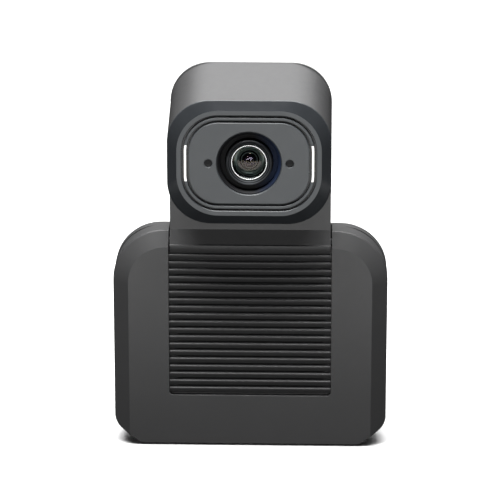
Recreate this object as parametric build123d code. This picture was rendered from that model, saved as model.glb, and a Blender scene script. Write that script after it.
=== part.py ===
"""A conference camera: a square base with a louvred front, and a camera head that tilts on it.

Millimetres. X is right, Y is back and Z is up. Every piece is drawn with Y = 0 on the
base's front face, and save() then moves it so that the origin is the mouth of the
tripod socket, in the middle of the base's underside.
"""
from build123d import *
import math
import os

# ---- Driving dimensions -------------------------------------------------------------

SOCKET_Y = 23.0             # tripod socket, behind the base's front face
WALL = 2.2                  # moulded wall thickness
GAP = 0.15                  # assembly gap round a part that drops into another

# Base
BASE_HALF_W = 65.0
BASE_TOP = 105.3
BASE_CORNER = 25.0
FACE_BEVEL = 7.3            # width of the bevel round the front face
FASCIA_BACK = 4.6           # the bevel's depth, and the joint between fascia and housing
MID_BACK = 14.5             # joint between middle housing and rear cover
COVER_BACK = 20.4           # rear face of the wide part of the base
HUMP_BACK = 46.0            # rear face of the electronics hump
HUMP_HALF_W = 54.0
HUMP_TOP = 88.0
FOOT_CUT_X = 52.0           # where the slanted bottom corner meets the underside
FOOT_CUT_SLOPE = 0.673

# Louvre in the front face, and the slot that the neck drops into
SLOT_HALF_W = 38.5
LOUVRE_LOW = 24.4
LOUVRE_HIGH = 94.65
SLATS = 19
SLAT_DEPTH = 2.2
SHELF_RISE = 0.55            # height of a slat's shelf at its root above its front edge
SLOT_FLOOR = 95.5
NOTCH_STEP_Y = 17.6           # behind here the slot in the rear cover is narrower than the neck
NOTCH_BACK_HALF_W = 36.5

# Tilt hinge
AXIS_Y = 7.3
AXIS_Z = 99.0
BARREL_R = 7.0
RECESS_R = 7.6
PIN_R = 2.0
EAR_R = 4.1                 # the bracket's rounded end
PIN_FIT = 0.05              # radial clearance of the pin in its bracket

# Head
HEAD_HALF_W = 38.0
NECK_HALF_W = 37.9
NECK_FRONT = 4.6
NECK_BACK = 14.3
HEAD_FRONT = -14.2
HEAD_BACK = 19.6
HEAD_LOW = 114.2
HEAD_HIGH_FRONT = 173.2
HEAD_HIGH_BACK = 182.7
HEAD_CORNER = 20.3
HEAD_COVER_DEPTH = 6.4
HEAD_BACK_CORNER = 18.7
NECK_TOP = 136.0            # height to which the neck's straight sides run up the hood
LIP_TOP = 105.8             # where the neck's front starts to flare
LEDGE_DEPTH = 0.9           # the narrow ledge between the flare and the barrel, front to back
LEDGE_DROP = 0.3            # and how far it slopes down towards its edge
BARREL_BORE_HALF_W = 34.3
PIN_END = 47.6
WASHER_X = 43.2
FLEX_HALF_W = 9.0
SENSOR_BOARD_Y = 9.0
FACE_Z = 143.8              # centre of the face, and the optical axis
FACE_Y = -17.0              # front plane of the face

# Face rings: half width, half height and corner radius share one corner centre
RING_CENTRE_X = 14.1
RING_CENTRE_Z = 5.6
BEZEL_R = 19.4
GROOVE_1_OUT = 17.1
GROOVE_1_IN = 16.1
GROOVE_2_OUT = 14.75
GROOVE_2_IN = 13.75

TALLY_X = 29.55
TALLY_HALF = 8.6
MIC_X = 18.8
MIC_R = 1.85

# Lens
LENS_TIP = -14.8            # front of the lens barrel
WELL_R = 14.95
BARREL_TIP_R = 10.8
GLASS_R = 7.9
INNER_GLASS_R = 5.6

# Boards and connectors
BOARD_Y = 30.0
BOARD_T = 1.6
IO_PLATE_Y = 43.6           # rear connector plate
IO_HALF_W = 44.0
IO_LOW = 10.0
IO_HIGH = 32.0
VENTS = 15
FRONT_FEET_Y = 9.6
REAR_FEET_Y = 38.0
FOOT_R = 4.2
CHASSIS_Y = 15.2
CHASSIS_T = 1.2
IO_MID = (IO_LOW + IO_HIGH) / 2
RESET_X = 21.0
RESET_R = 1.6


# ---- Drawing helpers ----------------------------------------------------------------

def upright(y):
    """The plane at depth y that faces forward, with local x right and local y up."""
    return Plane(origin=(0, y, 0), x_dir=(1, 0, 0), z_dir=(0, -1, 0))


def prism(sketch, y_front, y_back):
    """A sketch drawn in X and Z, as a solid from y_front to y_back."""
    return extrude(upright(y_back) * sketch, amount=y_back - y_front)


def block(x_low, x_high, y_low, y_high, z_low, z_high):
    """A box given by its six faces."""
    size = (x_high - x_low, y_high - y_low, z_high - z_low)
    centre = ((x_low + x_high) / 2, (y_low + y_high) / 2, (z_low + z_high) / 2)
    return Pos(*centre) * Box(*size)


def rod_x(radius, x_low, x_high, y, z):
    """A cylinder along X."""
    middle = Pos((x_low + x_high) / 2, y, z)
    return middle * Rot(0, 90, 0) * Cylinder(radius, x_high - x_low)


def rod_y(radius, y_low, y_high, x, z):
    """A cylinder along Y."""
    middle = Pos(x, (y_low + y_high) / 2, z)
    return middle * Rot(90, 0, 0) * Cylinder(radius, y_high - y_low)


def rod_z(radius, z_low, z_high, x, y):
    """A cylinder along Z."""
    return Pos(x, y, (z_low + z_high) / 2) * Cylinder(radius, z_high - z_low)


def tube_y(outer, inner, y_low, y_high, x, z):
    """A plain ring along Y."""
    return rod_y(outer, y_low, y_high, x, z) - rod_y(inner, y_low - 1, y_high + 1, x, z)


def turned_y(points, x=0.0, z=FACE_Z):
    """A solid of revolution about the line through (x, z) along Y, from (radius, y) points."""
    profile = make_face(Polyline(*points, close=True))
    turned = revolve(profile, axis=Axis.Y, revolution_arc=360)
    return Pos(x, 0, z) * turned


def slab(half_w, z_low, z_high, radius):
    """A rounded rectangle, centred on X = 0."""
    height = z_high - z_low
    return Pos(0, (z_low + z_high) / 2) * RectangleRounded(2 * half_w, height, radius)


def face_ring(radius):
    """An outline of the face's family: all share their corner centres."""
    width = 2 * (RING_CENTRE_X + radius)
    height = 2 * (RING_CENTRE_Z + radius)
    return Pos(0, FACE_Z) * RectangleRounded(width, height, radius)


def base_outline(inset=0.0, corner=BASE_CORNER, floor=0.0):
    """The base from the front: rounded top corners and slanted, softened bottom corners."""
    half_w = BASE_HALF_W - inset
    top = BASE_TOP - inset
    cut_x = FOOT_CUT_X - inset / 2 + (floor / FOOT_CUT_SLOPE)
    cut_z = floor + (half_w - cut_x) * FOOT_CUT_SLOPE
    shape = make_face(Polyline(
        (-cut_x, floor), (cut_x, floor), (half_w, cut_z), (half_w, top),
        (-half_w, top), (-half_w, cut_z), close=True))
    corners = shape.vertices().sort_by(Axis.Y)
    shape = fillet(corners[4:], corner - inset)
    slants = shape.vertices().filter_by(lambda v: abs(v.Y - cut_z) < 0.01 and abs(v.X) > cut_x)
    return fillet(slants, 8.0 - inset / 2)


def mirrored(part):
    """A part and its mirror image across X = 0."""
    return part + mirror(part, about=Plane.YZ)


def screw_y(head_r, head_h, shank_r, length, x, y, z, facing=1):
    """A cross-recessed pan screw along Y. Its head stands from y towards facing."""
    head_end = y + facing * head_h
    tip = y - facing * length
    head = rod_y(head_r, min(y, head_end), max(y, head_end), x, z)
    crown = head.edges().filter_by(GeomType.CIRCLE).sort_by(Axis.Y)
    head = fillet(crown[-1] if facing > 0 else crown[0], head_h * 0.45)
    shank = rod_y(shank_r, min(y, tip), max(y, tip), x, z)
    blade = head_r * 0.55
    slot_depth = head_h * 0.5
    slot_y = sorted((head_end, head_end - facing * slot_depth))
    cross = block(x - blade, x + blade, *slot_y, z - 0.28, z + 0.28)
    cross += block(x - 0.28, x + 0.28, *slot_y, z - blade, z + blade)
    return head + shank - cross


def group(solids):
    """Several separate solids kept in one node."""
    return Compound(children=list(solids))


def spread(xs, zs):
    """Every pair of an x and a z."""
    return [(x, z) for z in zs for x in xs]


# ---- Base shells --------------------------------------------------------------------

FASCIA_BOSSES = spread((-50.0, 50.0), (13.0, 52.0, 88.0))
FEET_X = (-42.0, 42.0)
BRACKET_SCREW_X = 46.5
BRACKET_SCREW_Z = 72.0
BRACKET_SCREWS = spread((-BRACKET_SCREW_X, BRACKET_SCREW_X), (BRACKET_SCREW_Z,))
BOARD_FIXINGS = spread((-42.0, 42.0), (36.0, 79.0))
HEAD_SCREWS = spread((-26.8, 26.8), (124.0, 171.0))
SENSOR_FIXINGS = spread((-18.0, 18.0), (FACE_Z - 18.0, FACE_Z + 18.0))
COVER_SCREWS = spread((-58.5, 58.5), (18.0, 84.0))


def slot_void():
    """The room that the neck and its barrel turn in, open to the front, top and back."""
    recess = rod_x(RECESS_R, -SLOT_HALF_W, SLOT_HALF_W, AXIS_Y, AXIS_Z)
    above = block(-SLOT_HALF_W, SLOT_HALF_W, -1, AXIS_Y, AXIS_Z, BASE_TOP + 1)
    behind = block(-SLOT_HALF_W, SLOT_HALF_W, AXIS_Y, HUMP_BACK, SLOT_FLOOR, BASE_TOP + 1)
    return recess + above + behind


def hinge_pocket():
    """Room for the brackets' ears, washers and nuts outside the cheeks."""
    return mirrored(rod_x(EAR_R + 0.3, SLOT_HALF_W + 2.4, 48.4, AXIS_Y, AXIS_Z))


def front_opening():
    """The opening in the fascia for the louvre below and the neck above."""
    width = 2 * (SLOT_HALF_W)
    height = BASE_TOP + 4 - LOUVRE_LOW
    shape = Pos(0, LOUVRE_LOW + height / 2) * RectangleRounded(width, height, 2.0)
    return prism(shape, -1, FASCIA_BACK + 1)


def front_fascia():
    """The bevelled front moulding, with a U-shaped opening."""
    low = -20.0
    face = upright(0) * slab(BASE_HALF_W - FACE_BEVEL, low, BASE_TOP - FACE_BEVEL,
                             BASE_CORNER - FACE_BEVEL)
    rim = upright(FASCIA_BACK) * slab(BASE_HALF_W, low, BASE_TOP, BASE_CORNER)
    outer = loft([face, rim], ruled=True) & prism(base_outline(), 0, FASCIA_BACK)
    hollow = prism(base_outline(6.2, floor=WALL), WALL, FASCIA_BACK + 1)
    frame = prism(slab(SLOT_HALF_W + WALL, LOUVRE_LOW - WALL, BASE_TOP + 4, 2.0 + WALL), 0, 6)
    bosses = Part()
    pilots = Part()
    for x, z in FASCIA_BOSSES:
        bosses += rod_y(2.9, WALL - 0.4, 9.0, x, z)
        pilots += rod_y(1.15, WALL + 0.6, 10.0, x, z)
    return outer - (hollow - frame) - hinge_pocket() - front_opening() + bosses - pilots


def slat_face(high, low):
    """A slat's face from its front edge down to its root: upright above, rolling back below."""
    steps = 5
    turn = math.radians(60)
    points = []
    for step in range(steps + 1):
        angle = turn * step / steps
        back = (SLAT_DEPTH - 0.1) * (1 - math.cos(angle)) / (1 - math.cos(turn))
        drop = (high - low) * math.sin(angle) / math.sin(turn)
        points.append((0.1 + back, high - drop))
    return points


def louvre_profile():
    """The saw-toothed section of the louvre: a sloping shelf and a face that falls back."""
    pitch = (LOUVRE_HIGH - LOUVRE_LOW - GAP) / SLATS
    back = SLAT_DEPTH + 1.2
    points = [(back, LOUVRE_HIGH), (0.3, LOUVRE_HIGH)]
    for index in range(SLATS):
        top = LOUVRE_HIGH - index * pitch
        points += slat_face(top - 0.2, top - pitch + SHELF_RISE)
        if index < SLATS - 1:
            points.append((0.3, top - pitch))
    points += [(SLAT_DEPTH, top - pitch), (back, top - pitch)]
    return points, pitch


def louvre_panel():
    """The slatted panel, with a slot at the root of each slat, cut away under the barrel."""
    points, pitch = louvre_profile()
    half_w = SLOT_HALF_W - GAP
    side = Plane(origin=(-half_w, 0, 0), x_dir=(0, 1, 0), z_dir=(1, 0, 0))
    panel = extrude(side * make_face(Polyline(*points, close=True)), amount=2 * half_w)
    height = LOUVRE_HIGH + 10 - LOUVRE_LOW - GAP
    trim = Pos(0, LOUVRE_LOW + GAP + height / 2) * RectangleRounded(2 * half_w, height, 1.9)
    panel &= prism(trim, -1, 6)
    slots = Part()
    for index in range(2, SLATS - 1):
        floor = LOUVRE_HIGH - (index + 1) * pitch + SHELF_RISE
        slots += block(-35, 35, SLAT_DEPTH - 0.2, SLAT_DEPTH + 0.5, floor - 0.1, floor + 0.3)
        for x in (-24.0, 0.0, 24.0):
            slots += block(x - 11, x + 11, SLAT_DEPTH, 5, floor - 0.1, floor + 0.3)
    return panel - slots - rod_x(RECESS_R, -SLOT_HALF_W, SLOT_HALF_W, AXIS_Y, AXIS_Z)


def dust_screen():
    """Woven dust screen behind the louvre slots."""
    return block(-36, 36, 3.45, 3.85, 28, 87)


def barrel_saddle():
    """The trough under the barrel, its rear shelf and the flange that closes the slot's back."""
    width = SLOT_HALF_W + 2.4
    ring = rod_x(RECESS_R + 1.9, -width, width, AXIS_Y, AXIS_Z)
    ring &= block(-width, width, FASCIA_BACK, COVER_BACK, 80, SLOT_FLOOR)
    lip = rod_x(RECESS_R + 1.9, -SLOT_HALF_W + 0.2, SLOT_HALF_W - 0.2, AXIS_Y, AXIS_Z)
    ring += lip & block(-width, width, 3.6, COVER_BACK, 80, SLOT_FLOOR)
    shelf = block(-width, width, AXIS_Y + 5, COVER_BACK, SLOT_FLOOR - 2, SLOT_FLOOR)
    flange = block(-width, width, COVER_BACK - 2, COVER_BACK, HUMP_TOP + 0.6, SLOT_FLOOR)
    room = block(-width, width, 0, MID_BACK, 80, BASE_TOP)
    for half_w, y_back in ((SLOT_HALF_W, NOTCH_STEP_Y - GAP), (NOTCH_BACK_HALF_W, COVER_BACK)):
        room += block(GAP - half_w, half_w - GAP, MID_BACK, y_back, 80, BASE_TOP)
    return (ring + shelf + flange) & room


def mid_housing():
    """The middle ring of the base, with the saddle and cheeks that take the hinge."""
    ring = prism(base_outline(corner=24.5), FASCIA_BACK, MID_BACK)
    seams = ring.faces().sort_by(Axis.Y)[0].edges() + ring.faces().sort_by(Axis.Y)[-1].edges()
    ring = chamfer(seams.filter_by(lambda e: e.center().Z > 0.1), 0.35)
    ring -= prism(base_outline(2.4, corner=24.5, floor=2.4), FASCIA_BACK - 1, MID_BACK + 1)
    cheeks = mirrored(block(SLOT_HALF_W, SLOT_HALF_W + 2.4, FASCIA_BACK, MID_BACK, 89, BASE_TOP - 1))
    housing = ring + cheeks + barrel_saddle() - slot_void()
    for side in (-1, 1):
        x_inner = side * (SLOT_HALF_W - 1)
        x_outer = side * (SLOT_HALF_W + 4)
        housing -= rod_x(PIN_R + 0.5, min(x_inner, x_outer), max(x_inner, x_outer), AXIS_Y, AXIS_Z)
    housing -= hinge_pocket()
    housing -= block(-12, 12, AXIS_Y - 1.8, AXIS_Y + 1.8, 85, 93)
    for x, z in FASCIA_BOSSES:
        web = block(min(x, x * 1.26), max(x, x * 1.26), 9.0, 11.0, z - 5, z + 5)
        web &= prism(base_outline(1.0, floor=1.0), 0, 20)
        housing += web + rod_y(4.4, 9.0, 11.0, x, z)
    for x, z in FASCIA_BOSSES:
        housing -= rod_y(1.6, 8, 12, x, z)
    for x, z in COVER_SCREWS:
        web = block(min(x, x * 1.08), max(x, x * 1.08), 6.5, MID_BACK, z - 2, z + 2)
        housing += web + rod_y(3.4, 6.5, MID_BACK, x, z)
        housing -= rod_y(1.25, 7.5, MID_BACK + 1, x, z)
    for x in FEET_X:
        housing -= rod_z(FOOT_R + 0.1, -1, 0.8, x, FRONT_FEET_Y)
    return housing


def hump_outline(inset=0.0, floor=0.0):
    """The electronics hump from the back, with the same slanted bottom corners."""
    half_w = HUMP_HALF_W - inset
    top = HUMP_TOP - inset
    shape = make_face(Polyline(
        (-half_w + 8, floor), (half_w - 8, floor), (half_w, floor + 6), (half_w, top),
        (-half_w, top), (-half_w, floor + 6), close=True))
    corners = shape.vertices().sort_by(Axis.Y)
    return fillet(corners[4:], 14 - inset)


def rear_cover():
    """The rear moulding: a shallow tray that carries the electronics hump."""
    tray = prism(base_outline(0.3, corner=22.5), MID_BACK, COVER_BACK)
    rim = tray.faces().sort_by(Axis.Y)[-1].edges().filter_by(lambda e: e.center().Z > 0.1)
    tray = chamfer(rim, 0.6)
    hump = prism(hump_outline(), COVER_BACK - 0.1, HUMP_BACK)
    back = hump.faces().sort_by(Axis.Y)[-1].edges().filter_by(lambda e: e.center().Z > 0.1)
    hump = chamfer(back, 3.0)
    cover = tray + hump
    cover -= prism(base_outline(2.8, corner=22.5, floor=2.4), MID_BACK - 1, COVER_BACK - WALL)
    cover -= prism(hump_outline(WALL, floor=2.4), COVER_BACK - 4, HUMP_BACK - WALL)
    cover -= slot_notch(SLOT_HALF_W, MID_BACK - 1, NOTCH_STEP_Y)
    cover -= slot_notch(NOTCH_BACK_HALF_W, NOTCH_STEP_Y - 0.1, COVER_BACK + 1)
    cover -= block(-IO_HALF_W - GAP, IO_HALF_W + GAP, IO_PLATE_Y - 1, HUMP_BACK + 1, IO_LOW, IO_HIGH)
    for index in range(VENTS):
        x = (index - (VENTS - 1) / 2) * 5.0
        vent = Pos(x, 64) * SlotOverall(26, 2.0, rotation=90)
        cover -= prism(vent, COVER_BACK, HUMP_BACK + 1)
    cover += rod_z(8.0, 0.0, 9.0, 0, SOCKET_Y) - rod_z(4.3, -1, 10, 0, SOCKET_Y)
    cover -= rod_z(4.3, -1, 3, 0, SOCKET_Y) + rod_z(6.6, 7.0, 10, 0, SOCKET_Y)
    for x, z in COVER_SCREWS:
        cover -= rod_y(1.6, MID_BACK - 1, COVER_BACK + 1, x, z)
        cover -= rod_y(3.1, COVER_BACK - 0.9, COVER_BACK + 1, x, z)
    for x in FEET_X:
        cover -= rod_z(FOOT_R + 0.1, -1, 0.8, x, REAR_FEET_Y)
    return cover


def slot_notch(half_w, y_front, y_back):
    """One step of the rear cover's notch behind the neck."""
    return block(-half_w, half_w, y_front, y_back, HUMP_TOP + 0.4, BASE_TOP + 1)


def io_ports():
    """Each connector's name, centre x, width and height, from left to right seen from behind."""
    return {
        "network": (-30.0, 16.2, 13.8),
        "hdmi": (-8.0, 15.2, 5.8),
        "usb": (12.0, 9.2, 3.6),
        "power": (30.0, 9.2, 9.2),
    }


def io_plate():
    """The recessed sheet-metal connector plate."""
    plate = block(-IO_HALF_W, IO_HALF_W, IO_PLATE_Y, IO_PLATE_Y + 1.0, IO_LOW + 0.2, IO_HIGH - 0.2)
    for x, width, height in io_ports().values():
        hole = Pos(x, IO_MID) * RectangleRounded(width + 0.5, height + 0.5, 0.8)
        plate -= prism(hole, IO_PLATE_Y - 1, IO_PLATE_Y + 2)
    return plate - rod_y(RESET_R + 0.35, IO_PLATE_Y - 1, IO_PLATE_Y + 2, RESET_X, IO_MID)


# ---- Base internals -----------------------------------------------------------------

def chassis():
    """The folded steel backbone: an upright plate and a foot flange round the socket boss."""
    plate = prism(base_outline(4.6, corner=24.0, floor=4.2), CHASSIS_Y, CHASSIS_Y + CHASSIS_T)
    notch = SLOT_HALF_W + 3.2
    plate -= block(-notch, notch, CHASSIS_Y - 1, CHASSIS_Y + 3, HUMP_TOP - 0.8, BASE_TOP)
    plate -= prism(Pos(0, 57) * RectangleRounded(70, 52, 4), CHASSIS_Y - 1, CHASSIS_Y + 3)
    foot = block(-40, 40, CHASSIS_Y, 42.0, 2.9, 4.1) + block(-40, 40, CHASSIS_Y, CHASSIS_Y + CHASSIS_T, 2.9, 6)
    frame = plate + foot
    frame -= rod_z(8.3, 2, 10, 0, SOCKET_Y)
    for x, z in COVER_SCREWS + BRACKET_SCREWS:
        frame -= rod_y(1.7, CHASSIS_Y - 1, CHASSIS_Y + 3, x, z)
    for x, z in BOARD_FIXINGS:
        frame -= rod_y(1.6, CHASSIS_Y - 1, CHASSIS_Y + 3, x, z)
    for x, z in FASCIA_BOSSES:
        frame -= rod_y(3.2, CHASSIS_Y - 1, CHASSIS_Y + 3, x, z)
    return frame


def hinge_bracket(side):
    """A steel bracket: an ear for the hinge pin and a flange screwed to the chassis."""
    low, high = sorted((side * (SLOT_HALF_W + 2.6), side * (SLOT_HALF_W + 4.4)))
    ear = rod_x(EAR_R, low, high, AXIS_Y, AXIS_Z)
    ear += block(low, high, AXIS_Y, CHASSIS_Y, 90, AXIS_Z + EAR_R - 1.2)
    ear += block(low, high, 10.0, CHASSIS_Y, 66, 96)
    flange_ends = sorted((side * (SLOT_HALF_W + 2.6), side * 50.5))
    bracket = ear + block(*flange_ends, CHASSIS_Y - 1.6, CHASSIS_Y, 66, 78)
    bracket -= rod_x(PIN_R + PIN_FIT, low - 1, high + 1, AXIS_Y, AXIS_Z)
    return bracket - rod_y(1.7, 12, 20, side * BRACKET_SCREW_X, BRACKET_SCREW_Z)


def main_board():
    """The main circuit board, with its fixing holes."""
    board = prism(Pos(0, 46) * RectangleRounded(94, 74, 5), BOARD_Y, BOARD_Y + BOARD_T)
    for x, z in BOARD_FIXINGS:
        board -= rod_y(1.6, BOARD_Y - 1, BOARD_Y + 3, x, z)
    return board


def board_standoffs():
    """Hexagonal standoffs from the chassis to the board."""
    pieces = []
    for x, z in BOARD_FIXINGS:
        hexagon = Pos(x, z) * RegularPolygon(3.0, 6)
        post = prism(hexagon, CHASSIS_Y + CHASSIS_T, BOARD_Y)
        pieces.append(post - rod_y(1.2, CHASSIS_Y, BOARD_Y + 1, x, z))
    return group(pieces)


def board_screws():
    """Screws that hold the board to its standoffs."""
    return group(screw_y(2.7, 1.5, 1.15, 6.0, x, BOARD_Y + BOARD_T, z) for x, z in BOARD_FIXINGS)


def processor():
    """The image processor in its package, on the board's front side."""
    body = block(-9.5, 9.5, BOARD_Y - 1.6, BOARD_Y, 47.5, 66.5)
    lid = block(-7.5, 7.5, BOARD_Y - 2.4, BOARD_Y - 1.6, 49.5, 64.5)
    return body + lid


def memory_chips():
    """Four memory packages beside the processor."""
    places = spread((-19.0, 19.0), (50.0, 64.0))
    return group(block(x - 5, x + 5, BOARD_Y - 1.1, BOARD_Y, z - 5, z + 5) for x, z in places)


def thermal_pad():
    """The soft pad between processor and heat sink."""
    return block(-7, 7, BOARD_Y - 3.4, BOARD_Y - 2.4, 50, 64)


def heat_sink():
    """A finned aluminium heat sink that reaches forward through the chassis window."""
    top = BOARD_Y - 3.4
    sink = block(-28, 28, top - 3.0, top, 36, 78)
    for index in range(12):
        x = -27.5 + index * 5.0
        sink += block(x - 0.6, x + 0.6, 8.0, top - 2.5, 36, 78)
    return sink


def board_components():
    """Inductors, capacitors and the network transformer on the board's rear side."""
    back = BOARD_Y + BOARD_T
    pieces = [block(-38, -22, back, back + 6, 40, 48)]
    pieces += [rod_y(3.0, back, back + 7.5, x, 68) for x in (26.0, 33.5, 41.0)]
    pieces += [block(x - 3.5, x + 3.5, back, back + 4, 44, 51) for x in (22.0, 32.0)]
    return group(pieces)


def jack_shell(name, depth, wall=0.5):
    """An open-mouthed rectangular connector shell that stands on the board."""
    x, width, height = io_ports()[name]
    front = BOARD_Y + BOARD_T
    back = front + depth
    body = prism(Pos(x, IO_MID) * RectangleRounded(width, height, 0.6), front, back)
    mouth = Pos(x, IO_MID) * RectangleRounded(width - 2 * wall, height - 2 * wall, 0.4)
    return body - prism(mouth, front + 2.0, back + 1), x, front, back


def network_jack():
    """An eight-way network socket with its contact wires and latch notch."""
    shell, x, front, back = jack_shell("network", 13.4, wall=1.1)
    shell -= block(x - 3, x + 3, back - 9, back + 1, IO_MID - 6.4, IO_MID - 5.0)
    comb = block(x - 5.2, x + 5.2, front + 1.5, front + 4.5, IO_MID + 1.5, IO_MID + 5.9)
    for index in range(8):
        pin_x = x + (index - 3.5) * 1.02
        comb += block(pin_x - 0.22, pin_x + 0.22, front + 4, front + 9, IO_MID + 4.7, IO_MID + 5.9)
    return shell + comb


def hdmi_jack():
    """A video socket: a shell with cut lower corners, round a contact tongue."""
    x, width, height = io_ports()["hdmi"]
    front = BOARD_Y + BOARD_T
    back = front + 12.8

    def mouth(inset):
        half_w = width / 2 - inset
        half_h = height / 2 - inset
        return Pos(x, IO_MID) * make_face(Polyline(
            (-half_w, half_h), (half_w, half_h), (half_w, -half_h + 2), (half_w - 1.8, -half_h),
            (-half_w + 1.8, -half_h), (-half_w, -half_h + 2), close=True))

    shell = prism(mouth(0), front, back) - prism(mouth(0.5), front + 2, back + 1)
    return shell + block(x - 5.2, x + 5.2, front + 1.5, back - 3, IO_MID - 0.6, IO_MID + 0.6)


def usb_jack():
    """A small reversible data socket: a rounded shell round a contact tongue."""
    x, width, height = io_ports()["usb"]
    front = BOARD_Y + BOARD_T
    body = prism(Pos(x, IO_MID) * SlotOverall(width, height), front, front + 12.8)
    body -= prism(Pos(x, IO_MID) * SlotOverall(width - 0.8, height - 0.8), front + 2, front + 14)
    return body + block(x - 3.1, x + 3.1, front + 1.5, front + 11.5, IO_MID - 0.35, IO_MID + 0.35)


def power_jack():
    """The barrel inlet for the power supply, with its centre pin."""
    x, width, height = io_ports()["power"]
    front = BOARD_Y + BOARD_T
    body = prism(Pos(x, IO_MID) * RectangleRounded(width, height, 0.8), front, front + 13.0)
    body -= rod_y(3.2, front + 3, front + 14, x, IO_MID)
    return body + rod_y(1.0, front + 2.5, front + 11.5, x, IO_MID)


def reset_switch():
    """The tact switch behind the reset button."""
    back = BOARD_Y + BOARD_T
    body = block(RESET_X - 3, RESET_X + 3, back, back + 3.5, IO_MID - 3, IO_MID + 3)
    return body - rod_y(1.9, back + 2.2, back + 4, RESET_X, IO_MID)


def reset_button():
    """The sprung reset button: a cap through the plate, a collar behind it and a stem."""
    switch_face = BOARD_Y + BOARD_T + 3.5
    stem = rod_y(1.2, switch_face - 0.4, IO_PLATE_Y - 1.0, RESET_X, IO_MID)
    collar = rod_y(2.4, IO_PLATE_Y - 1.8, IO_PLATE_Y - 0.4, RESET_X, IO_MID)
    cap = rod_y(RESET_R, IO_PLATE_Y - 1.0, IO_PLATE_Y + 1.7, RESET_X, IO_MID)
    tip = cap.edges().filter_by(GeomType.CIRCLE).sort_by(Axis.Y)[-1]
    return stem + collar + fillet(tip, 0.4)


def tripod_insert():
    """The brass quarter-inch tripod socket, with a flange above the boss."""
    body = rod_z(4.25, 0.0, 8.0, 0, SOCKET_Y) + rod_z(6.5, 7.05, 8.6, 0, SOCKET_Y)
    return body - rod_z(2.55, -1, 8.0, 0, SOCKET_Y)


def rubber_feet():
    """Four rubber feet in their recesses."""
    pieces = []
    for y in (FRONT_FEET_Y, REAR_FEET_Y):
        for x in FEET_X:
            foot = rod_z(FOOT_R, -1.0, 0.8, x, y)
            low = foot.edges().filter_by(GeomType.CIRCLE).sort_by(Axis.Z)[0]
            pieces.append(fillet(low, 0.5))
    return group(pieces)


def cover_screws():
    """The screws that clamp rear cover, chassis and housing."""
    return group(screw_y(2.8, 1.6, 1.2, 10.5, x, COVER_BACK - 0.9, z) for x, z in COVER_SCREWS)


def fascia_screws():
    """The screws that pull the fascia onto the housing."""
    return group(screw_y(2.6, 1.5, 1.1, 8.0, x, 11.0, z) for x, z in FASCIA_BOSSES)


def bracket_screws():
    """The screws that hold the hinge brackets to the chassis."""
    back = CHASSIS_Y + CHASSIS_T
    return group(screw_y(2.8, 1.6, 1.6, 5.0, x, back, z) for x, z in BRACKET_SCREWS)


# ---- Tilting head -------------------------------------------------------------------

def hood_solid(inset=0.0, y_front=HEAD_FRONT, y_back=HEAD_BACK):
    """The head's outer form: one width all through, with a top that rises to the back."""
    rise = (HEAD_HIGH_BACK - HEAD_HIGH_FRONT) / (HEAD_BACK - HEAD_FRONT)

    def section(y):
        high = HEAD_HIGH_FRONT + rise * (y - HEAD_FRONT)
        outline = slab(HEAD_HALF_W - inset, HEAD_LOW + inset, high - inset, HEAD_CORNER - inset)
        return upright(y) * outline

    return loft([section(y_front), section(y_back)], ruled=True)


def neck_profile(inset=0.0):
    """The side view of neck and barrel: a straight front, a flared lip and a round underside.

    The hollow inside, with an inset, keeps its full round there to clear the pins' flanges."""
    front = NECK_FRONT + inset
    back = NECK_BACK - inset
    hood_back = HEAD_BACK - inset
    radius = BARREL_R - inset
    lip = (front, LIP_TOP)
    ledge = (AXIS_Y - radius + LEDGE_DEPTH, AXIS_Z + LEDGE_DROP)
    edge = (AXIS_Y - radius, AXIS_Z)
    side = Plane(origin=(0, 0, 0), x_dir=(0, 1, 0), z_dir=(1, 0, 0))
    neck = make_face(Polyline(
        (back, AXIS_Z), (back, 109.0 + inset / 2), (hood_back, HEAD_LOW + inset / 2),
        (hood_back, NECK_TOP), (front, NECK_TOP), lip, ledge, edge, close=True))
    barrel = Pos(AXIS_Y, AXIS_Z) * Circle(radius)
    if inset == 0.0:
        ahead = AXIS_Y - radius - 1
        barrel -= make_face(Polyline(
            (ahead, LIP_TOP), lip, ledge, edge, (ahead, AXIS_Z), close=True))
    return side * (neck + barrel)


def head_shell():
    """Hood, neck and hinge barrel in one hollow moulding, open at the face and the back."""
    outer = hood_solid() + extrude(neck_profile(), amount=NECK_HALF_W, both=True)
    bore = extrude(neck_profile(WALL), amount=BARREL_BORE_HALF_W, both=True)
    bore &= block(-60, 60, -30, 60, 80, NECK_TOP - WALL)
    shell = outer - hood_solid(WALL, HEAD_FRONT - 1, HEAD_BACK + 1) - bore
    for x, z in HEAD_SCREWS:
        boss = rod_y(3.2, 9.0, HEAD_BACK, x, z)
        arm = block(min(x, x * 1.2), max(x, x * 1.2), 9.0, HEAD_BACK, z - 2, z + 2)
        shell += (boss + arm) & hood_solid(1.0)
        shell -= rod_y(1.2, 10.0, HEAD_BACK + 1, x, z)
    cable_slot = block(-13, 13, AXIS_Y - 4.0, AXIS_Y + 4.0, AXIS_Z - 9, AXIS_Z - 3)
    pin_holes = rod_x(PIN_R, -40, 40, AXIS_Y, AXIS_Z)
    return shell - cable_slot - pin_holes


def back_outline(inset=0.0):
    """The head from behind: large top corners and small bottom ones."""
    half_w = HEAD_HALF_W - inset
    low = HEAD_LOW + inset
    high = HEAD_HIGH_BACK - inset
    shape = Pos(0, (low + high) / 2) * Rectangle(2 * half_w, high - low)
    corners = shape.vertices().sort_by(Axis.Y)
    shape = fillet(corners[2:], HEAD_BACK_CORNER - inset)
    return fillet(shape.vertices().sort_by(Axis.Y)[:2], 6.0 - inset)


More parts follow.
